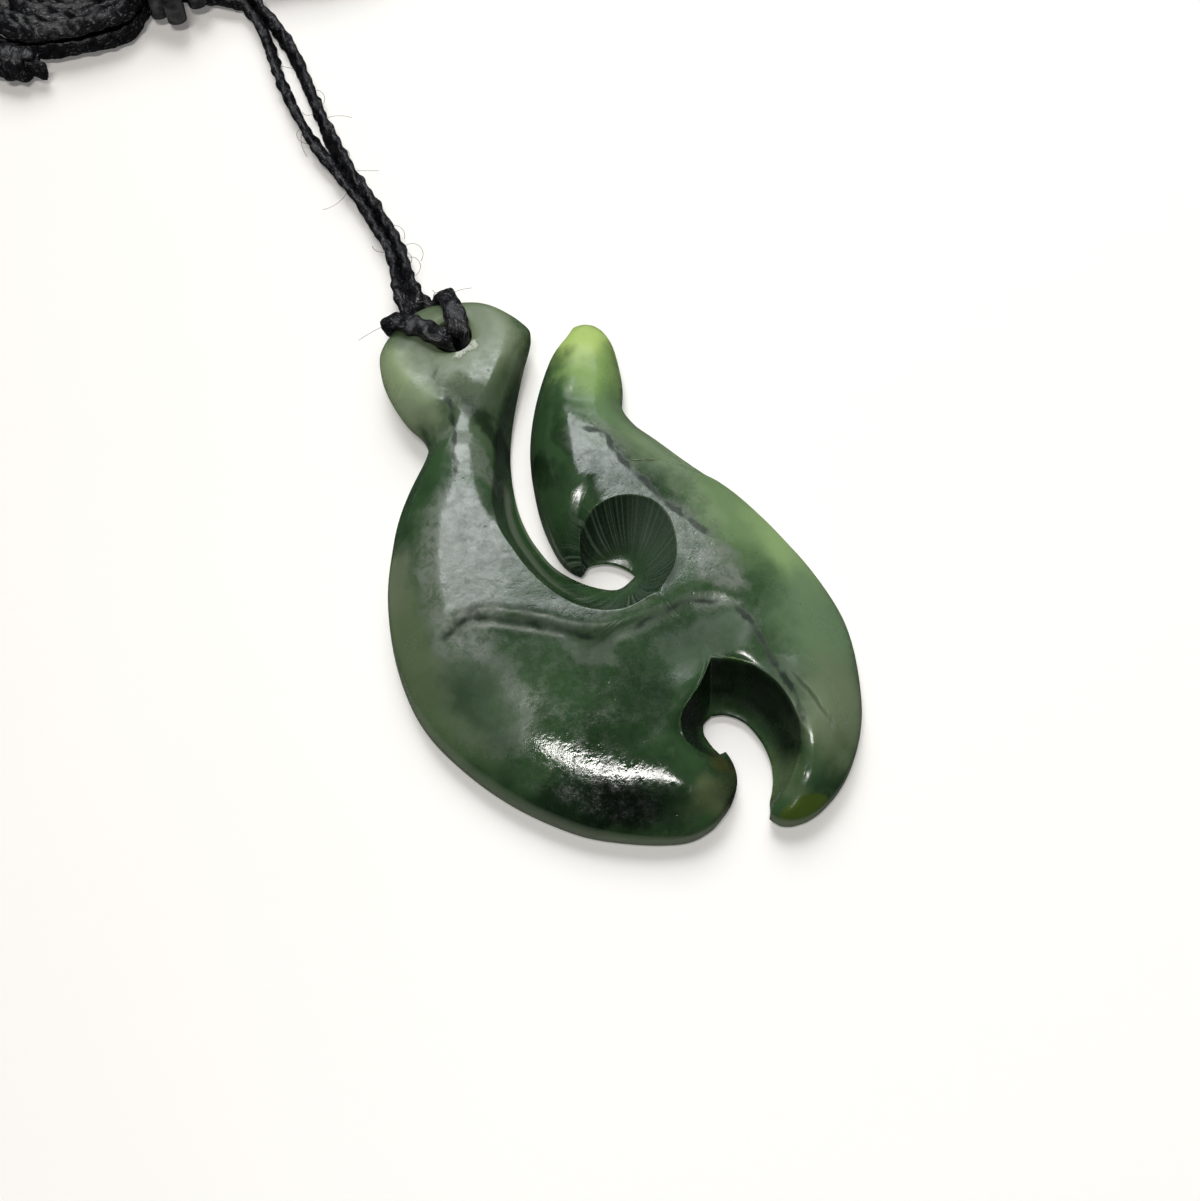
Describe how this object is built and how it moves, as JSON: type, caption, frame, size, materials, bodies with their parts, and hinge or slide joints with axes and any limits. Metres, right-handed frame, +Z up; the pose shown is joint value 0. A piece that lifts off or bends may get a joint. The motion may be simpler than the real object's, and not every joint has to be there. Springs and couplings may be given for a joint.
{
  "type": "hei matau pendant",
  "caption": "Polished greenstone fish-hook pendant with a barb, a carved eye and a curled end, hung on a black waxed cord that is folded into a tied hank.",
  "frame": {"origin": "middle of the stone's bounding box, on the surface that its back lies on", "axes": "+Z up out of the polished face, +Y along the stone from the tail to the head, +X across it towards the tail's outer edge"},
  "size_m": [0.0405, 0.1092, 0.0059],
  "materials": {
    "greenstone": "polished nephrite, translucent and brighter green where it is thin",
    "cord": "black waxed braid",
    "tie": "smooth dark grey wrap"
  },
  "bodies": {
    "root": {"stone": "greenstone", "hitch": "cord", "cord_left": "cord", "cord_right": "cord", "hank": "cord", "tie": "tie", "knot": "cord"}
  },
  "joints": []
}
